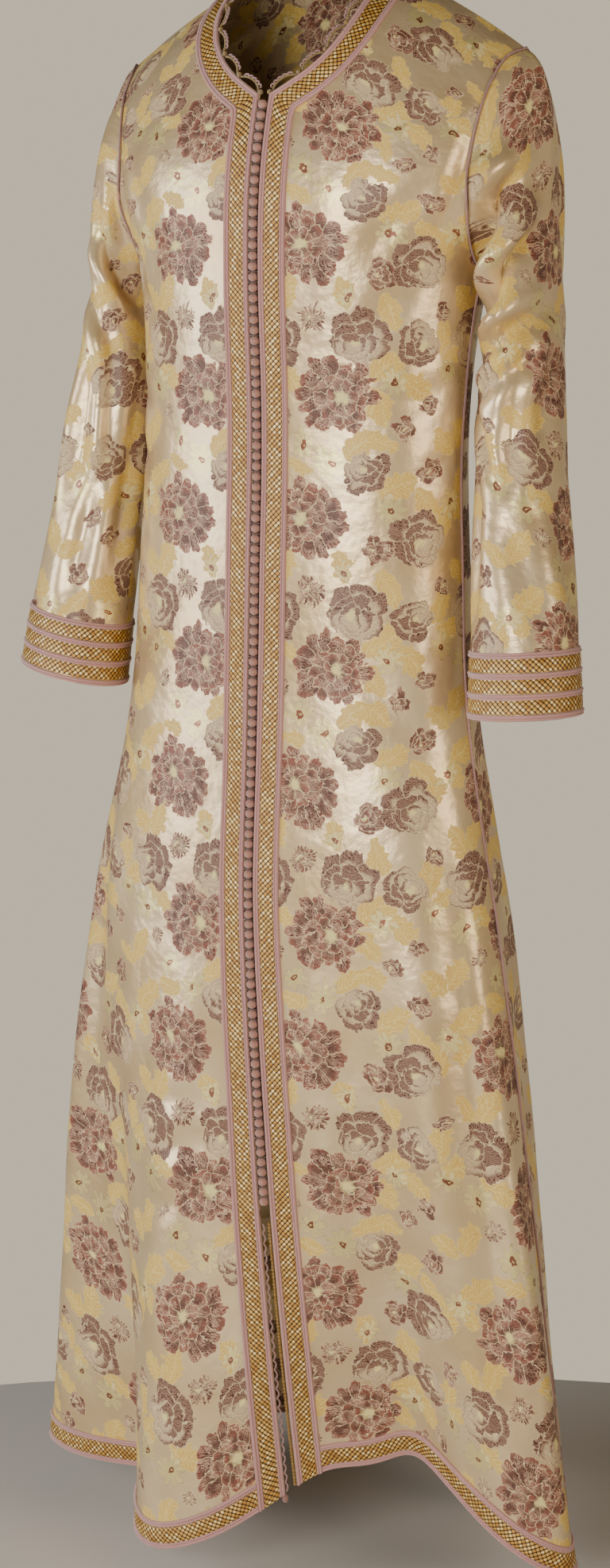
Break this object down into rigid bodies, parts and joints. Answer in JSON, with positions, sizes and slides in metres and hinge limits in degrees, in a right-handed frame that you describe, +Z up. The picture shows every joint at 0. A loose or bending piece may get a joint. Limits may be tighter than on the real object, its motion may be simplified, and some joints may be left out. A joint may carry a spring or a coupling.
{
  "type": "moroccan kaftan",
  "caption": "Ankle-length flared kaftan, worn open at neck, cuffs and hem, with long set-in sleeves, banded edges and a buttoned front ending in a slit.",
  "frame": {"origin": "between the shoulders, at the height where the garment hangs from the wearer", "axes": "+Z up, -Y the front, +X the wearer's left"},
  "size_m": [0.5896, 0.3742, 1.449],
  "materials": {
    "figured_satin": "figured satin brocade, champagne ground with rose-brown and pale gold flowers",
    "woven_gold_thread": "woven metallic gold thread",
    "rose_silk_cord": "braided rose silk cord",
    "rose_crochet": "crocheted rose and gold thread",
    "knotted_button_thread": "knotted rose-brown thread"
  },
  "bodies": {
    "root": {"armhole_cord_left": "rose_silk_cord", "armhole_cord_right": "rose_silk_cord", "back": "figured_satin", "bead_row_left": "woven_gold_thread", "button_row_01": "knotted_button_thread", "button_row_02": "knotted_button_thread", "button_row_03": "knotted_button_thread", "button_row_04": "knotted_button_thread", "button_row_05": "knotted_button_thread", "button_row_06": "knotted_button_thread", "button_row_07": "knotted_button_thread", "button_row_08": "knotted_button_thread", "button_row_09": "knotted_button_thread", "button_row_10": "knotted_button_thread", "cuff_cord_left_1": "rose_silk_cord", "cuff_cord_left_2": "rose_silk_cord", "cuff_cord_left_3": "rose_silk_cord", "cuff_cord_left_4": "rose_silk_cord", "cuff_cord_right_1": "rose_silk_cord", "cuff_cord_right_2": "rose_silk_cord", "cuff_cord_right_3": "rose_silk_cord", "cuff_cord_right_4": "rose_silk_cord", "cuff_gold_left_1": "woven_gold_thread", "cuff_gold_left_2": "woven_gold_thread", "cuff_gold_left_3": "woven_gold_thread", "cuff_gold_right_1": "woven_gold_thread", "cuff_gold_right_2": "woven_gold_thread", "cuff_gold_right_3": "woven_gold_thread", "front_cord_inner_left": "rose_silk_cord", "front_cord_inner_right": "rose_silk_cord", "front_cord_outer_left": "rose_silk_cord", "front_cord_outer_right": "rose_silk_cord", "front_gold_left": "woven_gold_thread", "front_gold_right": "woven_gold_thread", "front_left": "figured_satin", "front_right": "figured_satin", "hem_cord_lower_back": "rose_silk_cord", "hem_cord_lower_left": "rose_silk_cord", "hem_cord_lower_right": "rose_silk_cord", "hem_cord_upper_back": "rose_silk_cord", "hem_cord_upper_left": "rose_silk_cord", "hem_cord_upper_right": "rose_silk_cord", "hem_gold_back": "woven_gold_thread", "hem_gold_left": "woven_gold_thread", "hem_gold_right": "woven_gold_thread", "loop_row_right": "rose_silk_cord", "neck_cord_inner_back": "rose_silk_cord", "neck_cord_outer_back": "rose_silk_cord", "neck_edging_back": "rose_crochet", "neck_edging_left": "rose_crochet", "neck_edging_right": "rose_crochet", "neck_gold_back": "woven_gold_thread", "side_cord_left": "rose_silk_cord", "side_cord_right": "rose_silk_cord", "sleeve_left": "figured_satin", "sleeve_right": "figured_satin", "slit_knot": "knotted_button_thread"}
  },
  "joints": []
}
